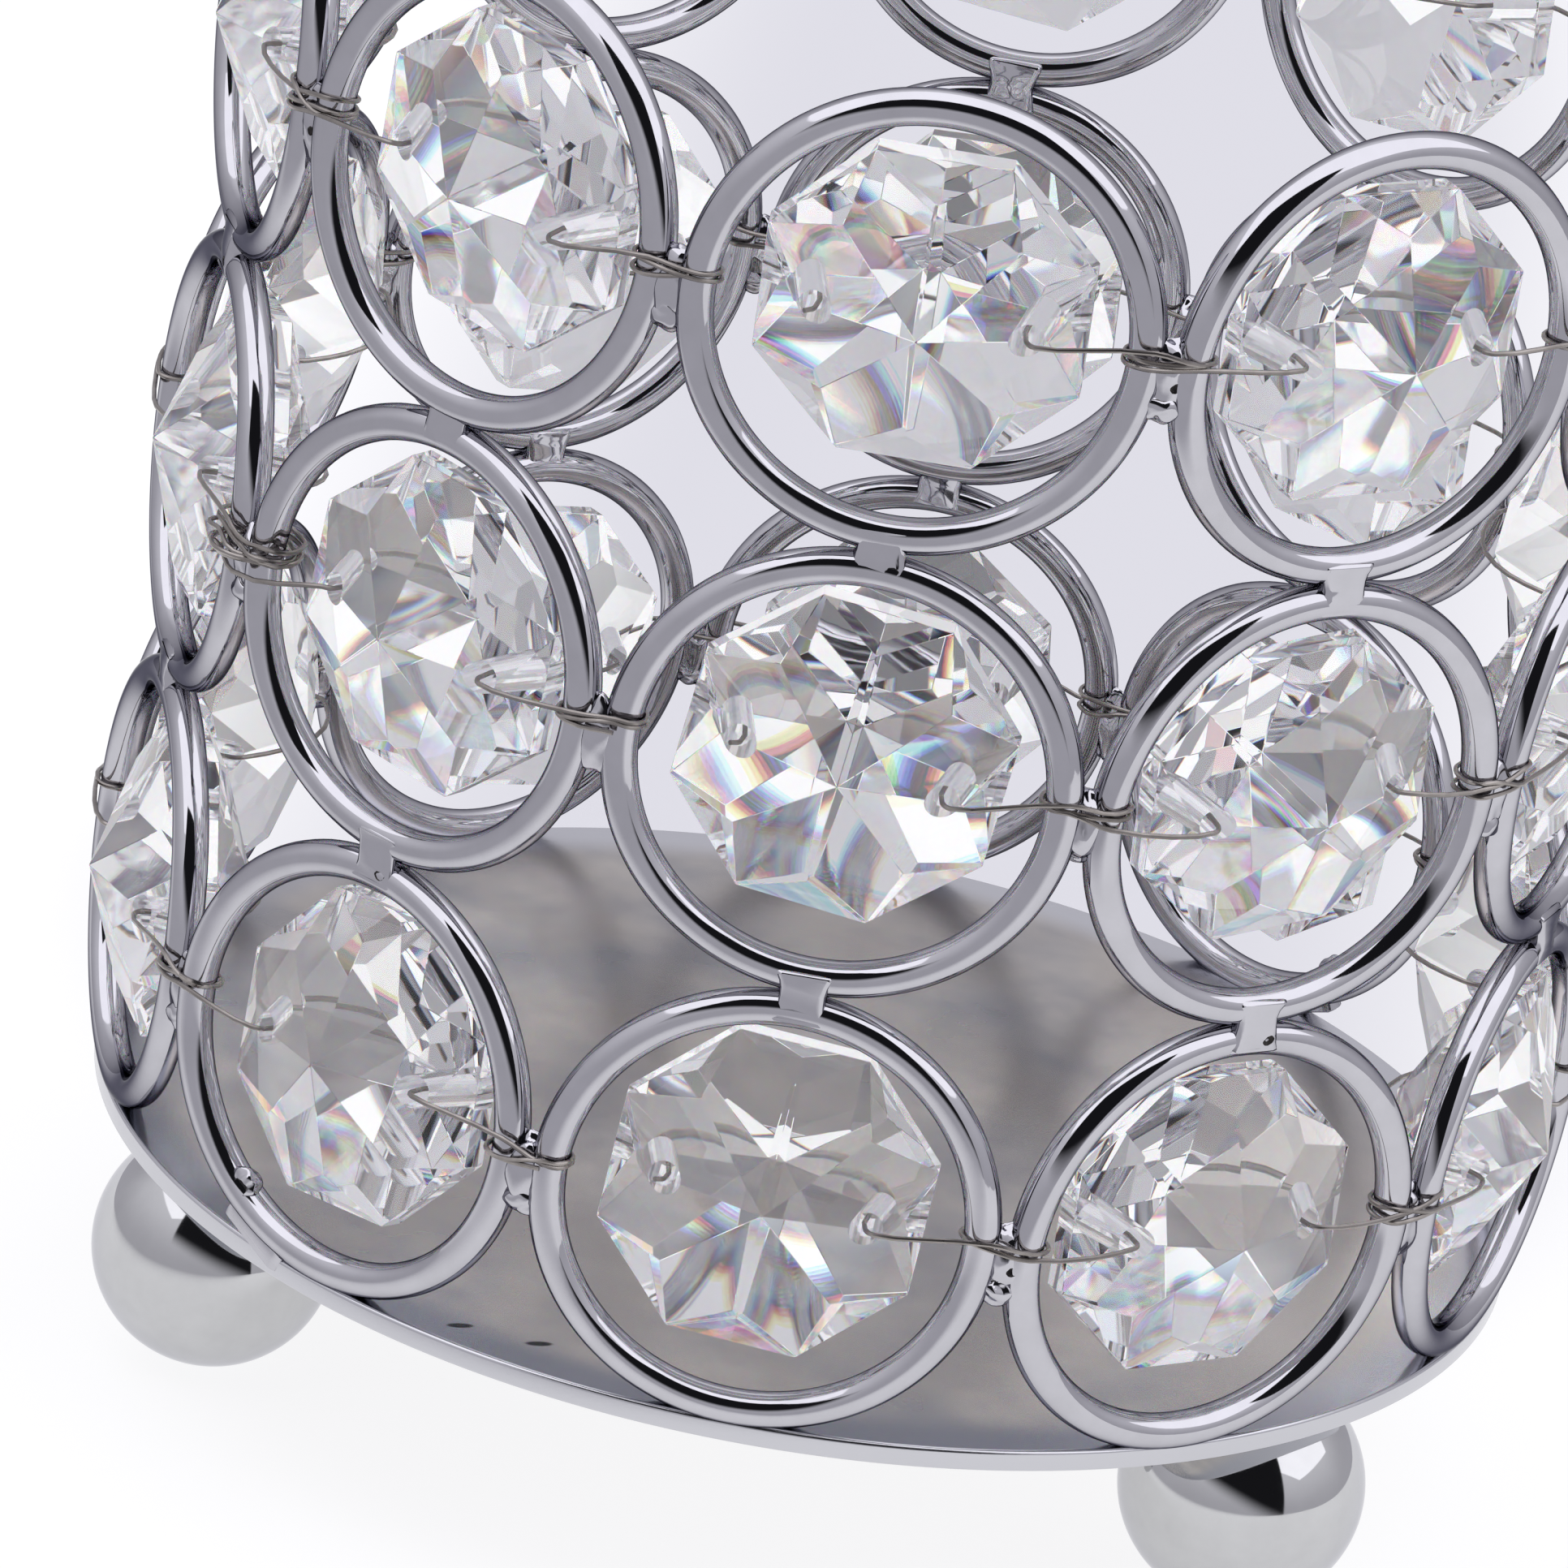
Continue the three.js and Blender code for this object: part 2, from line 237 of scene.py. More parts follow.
SHEAR_HIGHLIGHT_EASE = (0.03305, 0.03322)
SHEAR_HIGHLIGHT_TONE = (0.600, 0.600, 0.635, 1)
PRESS_MARKS = ((-0.0125, -0.0289, 0), (-0.0089, -0.0292, 0))
MARK_TURN = math.radians(22)
MARK_SIZE = (0.0006, 0.00022, 1)
MARK_EASE = (1.25, 0.75)
DENT_SHADE_TONE = (0.035, 0.035, 0.04, 1)
FINE_DEPTH = 0.000003


def away_from(tree, place, middle):
    made = put(tree, "ShaderNodeVectorMath", {0: place, 1: middle}, operation="DISTANCE")
    return made.outputs["Value"]


satin, tree = new_finish("satin_face")
# Warm and cool clouds are a painted reflection of the rings and beads. The same noise sets the satin's
# haze.
painted_reflection_and_haze = grain(tree, 95, 3.5, 0.6)
brown_patches = grain(tree, 130, 4.0, 0.55, (1.0, 0.8, 1.0))
tone = blend(tree, spread(tree, painted_reflection_and_haze, 0.0, 1.0, 0.36, 0.64), PAINTED_REFLECTION_WARM, PAINTED_REFLECTION_COOL)
tone = blend(tree, spread(tree, brown_patches, 0.0, 0.45, 0.42, 0.62), tone, BROWN_PATCH_TONE)
spot = put(tree, "ShaderNodeTexCoord").outputs["Object"]
flat = put(tree, "ShaderNodeMapping", {"Vector": spot, "Scale": (1, 1, 0)}).outputs["Vector"]
# A painted pool of reflected light on the right side of the plate.
light = ease(tree, away_from(tree, flat, PAINTED_LIGHT_PLACE), *PAINTED_LIGHT_EASE)
tone = blend(tree, calc(tree, "MULTIPLY", light, PAINTED_LIGHT_SHARE), tone, PAINTED_LIGHT_TONE)
radius = away_from(tree, flat, (0, 0, 0))
border = ease(tree, radius, *BORDER_EASE)
# The border's tone is a painted reflection: dark at the front left, where the rim mirrors the dark
# opening, and light at the back.
painted_slope = put(tree, "ShaderNodeVectorMath", {0: flat, 1: PAINTED_BORDER_SLOPE}, operation="DOT_PRODUCT")
painted_border_tone = blend(tree, ease(tree, painted_slope.outputs["Value"], *PAINTED_SLOPE_EASE), PAINTED_BORDER_DARK, PAINTED_BORDER_LIGHT)
tone = blend(tree, border, tone, painted_border_tone)
# A painted highlight along the sheared edge of the rim.
tone = blend(tree, ease(tree, radius, *SHEAR_HIGHLIGHT_EASE), tone, SHEAR_HIGHLIGHT_TONE)
# Two near-black marks near the front are the painted shade of two press dents, which the disc itself does
# not have.
for place in PRESS_MARKS:
    settings = {"Vector": flat, "Location": place, "Rotation": (0, 0, MARK_TURN), "Scale": MARK_SIZE}
    dent = put(tree, "ShaderNodeMapping", settings, vector_type="TEXTURE").outputs["Vector"]
    tone = blend(tree, ease(tree, away_from(tree, dent, (0, 0, 0)), *MARK_EASE), tone, DENT_SHADE_TONE)
metal = put(tree, "ShaderNodeBsdfPrincipled", {"Base Color": tone, "Metallic": 1.0})
slick = calc(tree, "MULTIPLY", border, BORDER_SLICK)
haze = calc(tree, "SUBTRACT", spread(tree, painted_reflection_and_haze, 0.20, 0.29), slick)
tree.links.new(haze, metal.inputs["Roughness"])
tree.links.new(bump(tree, grain(tree, 2600, 2.0, 0.5), FINE_DEPTH), metal.inputs["Normal"])
finish_with(tree, metal.outputs["BSDF"])
print("plate finish:", satin.name, "from", len(tree.nodes), "nodes")

# %% [markdown]
# ### Drawn wire and scorched welds
#
# The stringing wire is bare drawn steel, browner and rougher than the plating, and uneven in tone. Where
# a weld bubbled, it left a pit with a black scale in it. Scale is no metal any more, so it is a rough
# dark coat.

# %% Drawn wire and scorched welds
WIRE_BRIGHT = (0.370, 0.342, 0.325, 1)
WIRE_BROWN = (0.250, 0.230, 0.216, 1)
SCALE_BLACK = (0.022, 0.020, 0.020, 1)
SCALE_GREY = (0.085, 0.075, 0.070, 1)

drawn, tree = new_finish("drawn_wire")
streak = grain(tree, 900, 3.0, 0.6)
tone = blend(tree, spread(tree, streak, 0.0, 1.0), WIRE_BRIGHT, WIRE_BROWN)
metal = put(tree, "ShaderNodeBsdfPrincipled", {"Base Color": tone, "Metallic": 1.0})
tree.links.new(spread(tree, streak, 0.22, 0.38), metal.inputs["Roughness"])
finish_with(tree, metal.outputs["BSDF"])

scorched, tree = new_finish("scorched_weld")
scale_marks = grain(tree, 3200, 3.0)
tone = blend(tree, spread(tree, scale_marks, 0.0, 1.0), SCALE_BLACK, SCALE_GREY)
crust = put(tree, "ShaderNodeBsdfPrincipled", {"Base Color": tone})
tree.links.new(spread(tree, scale_marks, 0.4, 0.7), crust.inputs["Roughness"])
finish_with(tree, crust.outputs["BSDF"])
print("wire and weld finishes:", drawn.name, scorched.name)

# %% [markdown]
# ## Ball feet
#
# Each foot is a polished ball, ground flat where it stands and welded to the plate on top. A ball turned
# from a half circle would do as well, but here a sphere is trimmed with two flat cuts, as a grinder
# would. A soft collar of weld metal closes the joint under the plate.

# %% Balls, ground and welded
FOOT_RADIUS = 11.3 / 2
FOOT_FLAT = 0.12
FOOT_SINK = 0.25
FOOT_CENTRE = FOOT_RADIUS - FOOT_FLAT
PLATE_BOTTOM = FOOT_CENTRE + FOOT_RADIUS - FOOT_SINK
COLLAR_RADIUS = 1.95
COLLAR_TUBE = 0.3


def trim(bench, point, normal):
    parts = bench.verts[:] + bench.edges[:] + bench.faces[:]
    cut = bmesh.ops.bisect_plane(
        bench, geom=parts, dist=1e-5, plane_co=point, plane_no=normal, clear_outer=True
    )
    rim = [part for part in cut["geom_cut"] if isinstance(part, bmesh.types.BMEdge)]
    if rim:
        bmesh.ops.edgeloop_fill(bench, edges=rim)


def ball_foot():
    bench = bmesh.new()
    bmesh.ops.create_uvsphere(bench, u_segments=72, v_segments=48, radius=FOOT_RADIUS)
    bmesh.ops.translate(bench, vec=(0, 0, FOOT_CENTRE), verts=bench.verts)
    trim(bench, (0, 0, 0), (0, 0, -1))
    trim(bench, (0, 0, PLATE_BOTTOM), (0, 0, 1))
    collar = bmesh.ops.create_circle(bench, segments=12, radius=COLLAR_TUBE)["verts"]
    bmesh.ops.rotate(bench, verts=collar, matrix=Matrix.Rotation(math.pi / 2, 3, "X"))
    bmesh.ops.translate(bench, vec=(COLLAR_RADIUS, 0, PLATE_BOTTOM - COLLAR_TUBE), verts=collar)
    edges = list({edge for vert in collar for edge in vert.link_edges})
    bmesh.ops.spin(
        bench, geom=collar + edges, axis=(0, 0, 1), angle=2 * math.pi, steps=48, use_merge=True
    )
    turn_outward(bench)
    return bench


for side in ("right", "back", "left"):
    low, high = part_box(f"ball_foot_{side}")
    place = (low + high) / 2 / MM
    foot = ball_foot()
    bmesh.ops.translate(foot, vec=(place.x, place.y, 0), verts=foot.verts)
    piece = keep_piece(f"polished_ball_{side}", foot, [ball_chrome], "stand", f"ball_foot_{side}")

# %% [markdown]
# ## Base plate
#
# The plate is a disc blanked from thin sheet. The punch rounds the upper edge a little and leaves the
# lower one nearly square. A turned profile would do as well. A cylinder with two different bevels takes
# fewer steps, and its upright side is the sheared edge, where the satin finish paints a bright line along
# the rim as a painted highlight.

# %% Blanked disc
PLATE_THICKNESS = 1.0
PLATE_TOP = PLATE_BOTTOM + PLATE_THICKNESS
PLATE_RADIUS = 33.31
PLATE_ROUND = 0.2
PLATE_BURR = 0.12


def rim_at(bench, height):
    return [
        edge
        for edge in bench.edges
        if all(abs(vert.co.z - height) < 1e-4 for vert in edge.verts) and len(edge.link_faces) == 2
    ]


def base_disc():
    bench = bmesh.new()
    bmesh.ops.create_cone(
        bench,
        cap_ends=True,
        segments=240,
        radius1=PLATE_RADIUS,
        radius2=PLATE_RADIUS,
        depth=PLATE_THICKNESS,
    )
    half = PLATE_THICKNESS / 2
    for height, size in ((half, PLATE_ROUND), (-half, PLATE_BURR)):
        bmesh.ops.bevel(
            bench,
            geom=rim_at(bench, height),
            offset=size,
            affect="EDGES",
            segments=6,
            profile=0.5,
            material=-1,
        )
    bmesh.ops.translate(bench, vec=(0, 0, PLATE_BOTTOM + half), verts=bench.verts)
    turn_outward(bench)
    return bench


plate = keep_piece("satin_disc", base_disc(), [satin], "stand", "base_plate")

# %% [markdown]
# ## Ring columns
#
# A ring is a length of wire bent round a former and butt welded. Three rings stand on each other in a
# column, and ten columns make the drum. A torus would be quicker, but a circle spun round the ring's axis
# is how the bender works, and each ring is then pressed a touch out of round and turned a little, as
# hand-set rings are.

# %% Sizes of the ring wall
COLUMNS = 10
ROWS = ("bottom", "middle", "top")
BEAD_WIDTH = 14.0
BEAD_SIDES = 8
BEAD_CLEARANCE = 1.2
BEAD_APOTHEM = BEAD_WIDTH / 2
BEAD_CORNER = BEAD_APOTHEM / math.cos(math.pi / BEAD_SIDES)
RING_TUBE = 1.65 / 2
RING_RADIUS = BEAD_CORNER + BEAD_CLEARANCE + RING_TUBE
RING_OUTER = RING_RADIUS + RING_TUBE
HALF_COLUMN = math.pi / COLUMNS
COLUMN_GAP = 0.3
JOINT_HALF = RING_TUBE + COLUMN_GAP / 2
WALL_RADIUS = (JOINT_HALF + RING_RADIUS * math.cos(HALF_COLUMN)) / math.sin(HALF_COLUMN)
JOINT_RADIUS = WALL_RADIUS * math.cos(HALF_COLUMN) + RING_RADIUS * math.sin(HALF_COLUMN)
ROW_SINK = 0.1
ROW_PITCH = 2 * RING_OUTER - ROW_SINK
PLATE_SINK = 0.35
LOWEST_ROW = PLATE_TOP + RING_OUTER - PLATE_SINK
ROW_HEIGHTS = [LOWEST_ROW + row * ROW_PITCH for row in range(len(ROWS))]
print(f"ring {2 * RING_OUTER:.2f} mm wide, wall radius {WALL_RADIUS:.2f} mm")
print("row heights in mm:", [round(height, 2) for height in ROW_HEIGHTS])

# %% Bent rings
RING_SIDES = 24
RING_STEPS = 132
OUT_OF_ROUND = 0.008
RING_TWIST = math.radians(1.0)
bender = random.Random(3)


def bent_ring():
    wide = bender.uniform(-OUT_OF_ROUND, OUT_OF_ROUND)
    high = bender.uniform(-OUT_OF_ROUND, OUT_OF_ROUND)
    yaw = bender.uniform(-RING_TWIST, RING_TWIST)
    nod = bender.uniform(-RING_TWIST, RING_TWIST)
    ring = bmesh.new()
    wire = bmesh.ops.create_circle(ring, segments=RING_SIDES, radius=RING_TUBE)["verts"]
    bmesh.ops.translate(ring, vec=(RING_RADIUS, 0, 0), verts=wire)
    bmesh.ops.spin(
        ring,
        geom=ring.verts[:] + ring.edges[:],
        axis=(0, 1, 0),
        angle=2 * math.pi,
        steps=RING_STEPS,
        use_merge=True,
    )
    bmesh.ops.scale(ring, vec=(1 + wide, 1, 1 + high), verts=ring.verts)
    turn = Matrix.Rotation(yaw, 3, "Z") @ Matrix.Rotation(nod, 3, "X")
    bmesh.ops.rotate(ring, verts=ring.verts, matrix=turn)
    return ring


print(f"bent rings: up to {OUT_OF_ROUND:.1%} out of round, {RING_SIDES * RING_STEPS} faces each")

# %% [markdown]
# ### Welds
#
# Every joint is welded: a flat tab where two rings stand on each other, a soft bead and a small lump
# where two columns meet, a flattened lump on the plate. Sculpting each one would take days. A tab is a
# cube with a waist and soft corners, a lump is a ball swollen by noise, and a seed makes each one
# different.

# %% Weld tabs and lumps
TAB_WIDTH = 2.9
TAB_HEIGHT = 2.6
TAB_DEPTH = 1.66
TAB_WAIST = 0.72
TAB_SOFT = 0.34
CORNER_ANGLE = math.radians(40)
RAGGED = 0.16
RAGGED_GRAIN = 0.9
RAGGED_SEED = 4
LUMP_SWELL = 0.22
LUMP_GRAIN = 1.6
SEED_STEP = 3.7
noise.seed_set(RAGGED_SEED)


def weld_tab(width, depth, height, waist, soften):
    tab = bmesh.new()
    bmesh.ops.create_cube(tab, size=1)
    bmesh.ops.scale(tab, vec=(width, depth, height), verts=tab.verts)
    upright = [edge for edge in tab.edges if abs(edge.verts[0].co.z - edge.verts[1].co.z) > height / 2]
    bmesh.ops.subdivide_edges(tab, edges=upright, cuts=7, use_grid_fill=True)
    for vert in tab.verts:
        share = 1 - (2 * vert.co.z / height) ** 2
        vert.co.x *= 1 - (1 - waist) * max(0, share)
    corners = [edge for edge in tab.edges if edge.calc_face_angle(0) > CORNER_ANGLE]
    bmesh.ops.bevel(
        tab, geom=corners, offset=soften, affect="EDGES", segments=3, profile=0.5, material=-1
    )
    return tab


def row_tab():
    return weld_tab(TAB_WIDTH, TAB_DEPTH, TAB_HEIGHT, TAB_WAIST, TAB_SOFT)


def weld_lump(size, seed):
    lump = bmesh.new()
    bmesh.ops.create_icosphere(lump, subdivisions=4, radius=1)
    for vert in lump.verts:
        swell = noise.noise(vert.co * LUMP_GRAIN + Vector((seed * SEED_STEP, 0, 0)))
        vert.co *= 1 + LUMP_SWELL * swell
    bmesh.ops.scale(lump, vec=[side / 2 for side in size], verts=lump.verts)
    return lump


def roughen(island, start):
    for vert in island.verts:
        vert.co += noise.noise_vector(vert.co * RAGGED_GRAIN + Vector(start)) * RAGGED


def put_in(bench, island, place, turn=0.0):
    bmesh.ops.translate(island, vec=place, verts=island.verts)
    bmesh.ops.rotate(island, verts=island.verts, matrix=Matrix.Rotation(turn, 3, "Z"))
    turn_outward(island)
    mesh = bpy.data.meshes.new("island")
    island.to_mesh(mesh)
    island.free()
    bench.from_mesh(mesh)
    bpy.data.meshes.remove(mesh)


print(f"row tab: {TAB_WIDTH} x {TAB_DEPTH} x {TAB_HEIGHT} mm, ragged by up to {RAGGED} mm")

# %% [markdown]
# ### Pits
#
# Some welds bubbled and left a pit. A dark spot in the material would look flat, so a lumpy bubble is cut
# out of the weld with a Boolean, and the faces that look into the bubble take the scorched finish. Three
# welds are cut once, and the columns use copies of them.

# %% Pits in the welds
PIT_RADIUS = 0.27
PIT_PLACE = (0.55, -TAB_DEPTH / 2 - 0.05, -0.55)
FILLET_SIZE = (2.1, 1.5, 3.6)
FILLET_PIT = 0.24
FILLET_PITS = ((-0.36, -0.70, -0.95), (0.38, -0.70, -0.3))
FILLET_SEED = 70
PITTED_SEED = 75
BURN_SIZE = (1.5, 1.2, 1.7)
BURN_PIT = 0.44
BURN_SEED = 61
BUBBLE_SHAPE = (2.2, 2.0, 1.8)
BUBBLE_SEED = 5
SCORCH_REACH = 1.35
SCORCH_FACING = 0.75


def on_bench(name, bench):
    mesh = bpy.data.meshes.new(name)
    bench.to_mesh(mesh)
    bench.free()
    made = bpy.data.objects.new(name, mesh)
    scene.collection.objects.link(made)
    return made


def cut_away(blank, cutter):
    block = on_bench("blank", blank)
    knife = on_bench("cutter", cutter)
    cut = block.modifiers.new("cut", "BOOLEAN")
    cut.operation = "DIFFERENCE"
    cut.solver = "EXACT"
    cut.object = knife
    ready = block.evaluated_get(bpy.context.evaluated_depsgraph_get())
    mesh = bpy.data.meshes.new_from_object(ready)
    bpy.data.objects.remove(block)
    bpy.data.objects.remove(knife)
    return mesh


def looks_into(face, place, radius):
    inward = Vector(place) - face.center
    near = inward.length < SCORCH_REACH * radius
    return near and inward.normalized().dot(face.normal) > SCORCH_FACING


def pitted(blank, places, radius):
    bubbles = bmesh.new()
    for place in places:
        put_in(bubbles, weld_lump([side * radius for side in BUBBLE_SHAPE], BUBBLE_SEED), place)
    mesh = cut_away(blank, bubbles)
    for face in mesh.polygons:
        if any(looks_into(face, place, radius) for place in places):
            face.material_index = 1
    return mesh


tab_mesh = pitted(row_tab(), [PIT_PLACE], PIT_RADIUS)
fillet_mesh = pitted(weld_lump(FILLET_SIZE, PITTED_SEED), FILLET_PITS, FILLET_PIT)
burn_mesh = pitted(weld_lump(BURN_SIZE, BURN_SEED), [(0, -BURN_SIZE[1] / 2, 0)], BURN_PIT)
for weld, mesh in (("tab", tab_mesh), ("bead between columns", fillet_mesh), ("burnt spot", burn_mesh)):
    print(f"{weld}: {sum(face.material_index for face in mesh.polygons)} scorched faces")

# %% [markdown]
# ### Ten columns
#
# One column is welded up on the bench, in front of the drum's axis, and turned to its place. Two columns
# have a web of spilt weld metal at their foot, and a burnt spot beside it. Ten copies of one mesh would
# look stamped, so every column has its own welds.

# %% Ten ring columns
FILLET_DROP = 0.4
PITTED_JOINTS = ((0, 4, 7), (2, 6), (0, 5, 8))
LUMP_SIZE = (1.9, 1.45, 1.5)
LUMP_DROP = 1.7
FOOT_WELD = (3.8, 1.25, 0.8)
FOOT_WELD_PLACE = (0, -WALL_RADIUS, PLATE_TOP + 0.1)
WEB_COLUMNS = (4, 9)
WEB_SIZE = (3.8, 1.3, 1.25)
WEB_SOFT = 0.45
WEB_TURN = math.radians(23)
WEB_PLACE = (-3.6, -WALL_RADIUS - 0.1, PLATE_TOP + 0.55)
BURN_PLACE = (-4.80, -WALL_RADIUS - 0.28, PLATE_TOP + 2.42)


def from_pattern(mesh):
    copy = bmesh.new()
    copy.from_mesh(mesh)
    return copy


def side_weld(row, column):
    if column not in PITTED_JOINTS[row]:
        return weld_lump(FILLET_SIZE, FILLET_SEED + COLUMNS * row + column)
    fillet = from_pattern(fillet_mesh)
    roughen(fillet, (column, row, 1.5))
    return fillet


def upper_tab(row, column):
    has_pit = (row + column) % 2 == 1
    tab = from_pattern(tab_mesh) if has_pit else row_tab()
    roughen(tab, (column, row, 5.5))
    return tab


def plate_web(column):
    web = weld_tab(*WEB_SIZE, 1.0, WEB_SOFT)
    roughen(web, (column, 3, 5.5))
    roughen(web, (column, 7, 2.5))
    bmesh.ops.rotate(web, verts=web.verts, matrix=Matrix.Rotation(WEB_TURN, 3, "Y"))
    return web


def ring_column(column):
    bench = bmesh.new()
    for row, height in enumerate(ROW_HEIGHTS):
        put_in(bench, bent_ring(), (0, -WALL_RADIUS, height))
        put_in(bench, side_weld(row, column), (0, -JOINT_RADIUS, height - FILLET_DROP), HALF_COLUMN)
        # Two joints in three have a lump below the lashing
        if (column + row) % 3 != 1:
            lump = weld_lump(LUMP_SIZE, COLUMNS * row + column)
            put_in(bench, lump, (0, -JOINT_RADIUS, height - LUMP_DROP), HALF_COLUMN)
    for row, height in enumerate(ROW_HEIGHTS[1:]):
        put_in(bench, upper_tab(row, column), (0, -WALL_RADIUS, height - ROW_PITCH / 2))
    put_in(bench, weld_lump(FOOT_WELD, column), FOOT_WELD_PLACE)
    if column in WEB_COLUMNS:
        put_in(bench, plate_web(column), WEB_PLACE)
        put_in(bench, from_pattern(burn_mesh), BURN_PLACE)
    return bench


for column in range(COLUMNS):
    bench = ring_column(column)
    turn = Matrix.Rotation(2 * HALF_COLUMN * column, 3, "Z")
    bmesh.ops.rotate(bench, verts=bench.verts, matrix=turn)
    node = f"ring_column_{column + 1:02d}"
    piece = keep_piece(f"chrome_rings_{column + 1:02d}", bench, [chrome, scorched], "stand", node)

# %% [markdown]
# ## Cut-glass beads
#
# The beads are clear crystal octagons, ground to a point on both faces, with two drilled holes. Grinding
# is a row of flat cuts, so the bead is made the same way: an eight-sided blank is cut by eight planes
# through the point and eight more along the edges, on each face. The drill leaves a grey, frosted wall in
# the holes.

# %% Grind one bead
BEAD_RISE = 7.6 / 2
GIRDLE_RISE = 1.2 / 2
STAR_RADIUS = 5.4
STAR_SHARE = STAR_RADIUS * math.cos(math.pi / BEAD_SIDES) / BEAD_CORNER
STAR_RISE = BEAD_RISE - (BEAD_RISE - GIRDLE_RISE) * STAR_SHARE
BLANK_DEPTH = 3 * BEAD_RISE
DOUBLES = 0.01
ARRIS = 0.02


def ground_bead():
    bench = bmesh.new()
    bmesh.ops.create_cone(
        bench,
        cap_ends=True,
        segments=BEAD_SIDES,
        radius1=BEAD_CORNER,
        radius2=BEAD_CORNER,
        depth=BLANK_DEPTH,
    )
    half = math.pi / BEAD_SIDES
    bmesh.ops.rotate(bench, verts=bench.verts, matrix=Matrix.Rotation(half, 3, "Z"))
    kite = (BEAD_RISE - GIRDLE_RISE) / BEAD_CORNER
    edge = (STAR_RISE - GIRDLE_RISE) / (BEAD_APOTHEM - STAR_RADIUS)
    for face in (1, -1):
        for k in range(BEAD_SIDES):
            turn = 2 * half * k + half
            normal = Vector((kite * math.cos(turn), kite * math.sin(turn), face))
            trim(bench, (0, 0, face * BEAD_RISE), normal.normalized())
        for k in range(BEAD_SIDES):
            turn = 2 * half * k
            normal = Vector((edge * math.cos(turn), edge * math.sin(turn), face))
            point = (BEAD_APOTHEM * math.cos(turn), BEAD_APOTHEM * math.sin(turn), face * GIRDLE_RISE)
            trim(bench, point, normal.normalized())
    bmesh.ops.remove_doubles(bench, verts=bench.verts, dist=DOUBLES)
    bmesh.ops.bevel(
        bench,
        geom=bench.edges[:],
        offset=ARRIS,
        affect="EDGES",
        segments=1,
        profile=0.5,
        material=-1,
    )
    bmesh.ops.recalc_face_normals(bench, faces=bench.faces)
    return bench


print(f"kite facets reach {STAR_RADIUS} mm from the axis, {STAR_RISE:.2f} mm up")

# %% Drill the bead
HOLE_RADIUS = 1.5 / 2
HOLE_INSET = 2.5
HOLE_X = BEAD_APOTHEM - HOLE_INSET
HOLE_REACH = 1.02
HOLE_LEAN = 0.2
DRILL_LENGTH = 4 * BEAD_RISE


def drill_pair():
    bench = bmesh.new()
    for x in (-HOLE_X, HOLE_X):
        bit = bmesh.ops.create_cone(
            bench,
            cap_ends=True,
            segments=28,
            radius1=HOLE_RADIUS,
            radius2=HOLE_RADIUS,
            depth=DRILL_LENGTH,
        )["verts"]
        bmesh.ops.translate(bench, vec=(x, 0, 0), verts=bit)
    return bench


def in_a_hole(face):
    middle = face.calc_center_median()
    off = min(math.hypot(middle.x - x, middle.y) for x in (-HOLE_X, HOLE_X))
    return off < HOLE_RADIUS * HOLE_REACH and abs(face.normal.z) < HOLE_LEAN


bead_mesh = cut_away(ground_bead(), drill_pair())
apex = max(vert.co.z for vert in bead_mesh.vertices)
print(f"bead: {len(bead_mesh.polygons)} faces, apex at {apex:.3f} mm")

# %% [markdown]
# ### Glass
#
# Crystal splits white light, because blue bends more than red. Cycles has no such glass of its own, so
# three clear glasses are added: one passes mostly red and bends least, one green, one blue and bends
# most. A slight ripple keeps the facets from looking like perfect mirrors. Light that has been thrown
# round inside a bead three times is let straight out, because the renderer would give it up as black. The
# hole walls are a rough glass.

# %% Crystal and its drilled walls
MOST_MIRRORS = 2.5
BENDING = (
    (1.540, (0.62, 0.19, 0.19, 1)),
    (1.548, (0.19, 0.62, 0.19, 1)),
    (1.557, (0.19, 0.19, 0.62, 1)),
)
RIPPLE_DEPTH = 0.000001
FROST_TONE = (0.97, 0.97, 0.98, 1)
FROST_BENDING = 1.548


def let_out(tree, shader):
    mirrored = put(tree, "ShaderNodeLightPath").outputs["Glossy Depth"]
    trapped = calc(tree, "GREATER_THAN", mirrored, MOST_MIRRORS)
    clear = put(tree, "ShaderNodeBsdfTransparent").outputs[0]
    finish_with(tree, put(tree, "ShaderNodeMixShader", {0: trapped, 1: shader, 2: clear}).outputs[0])


crystal, tree = new_finish("crystal")
ripple = bump(tree, grain(tree, 420, 2.0, 0.4), RIPPLE_DEPTH)
polish = spread(tree, grain(tree, 900, 3.0), 0.0, 0.012)
colours = []
for bending, colour in BENDING:
    settings = {"Color": colour, "IOR": bending, "Roughness": polish, "Normal": ripple}
    colours.append(put(tree, "ShaderNodeBsdfGlass", settings).outputs["BSDF"])
pair = put(tree, "ShaderNodeAddShader", {0: colours[0], 1: colours[1]}).outputs[0]
let_out(tree, put(tree, "ShaderNodeAddShader", {0: pair, 1: colours[2]}).outputs[0])

drilled, tree = new_finish("drilled_wall")
scratch = grain(tree, 2400, 3.0)
frost = put(tree, "ShaderNodeBsdfGlass", {"Color": FROST_TONE, "IOR": FROST_BENDING})
tree.links.new(spread(tree, scratch, 0.06, 0.2), frost.inputs["Roughness"])
let_out(tree, frost.outputs["BSDF"])
print("glass finishes:", crystal.name, drilled.name)

# %% [markdown]
# ### Hanging the beads
#
# The tight wire holds every bead a little inside its ring, and each one leans and rolls its own way.
# Random turns would do for the looks alone. The wire has to pass through the holes, though, and the frame
# has the same beads, so one rule gives every lean and roll, here and in the frame.

# %% Thirty beads on their wires
BEAD_INSET = 1.0
STRING_LIFT = 0.5
LEAN = (6, 81, -90)
ROLL = (7, 152, 33)
STRING_HEIGHTS = [height + STRING_LIFT for height in ROW_HEIGHTS]


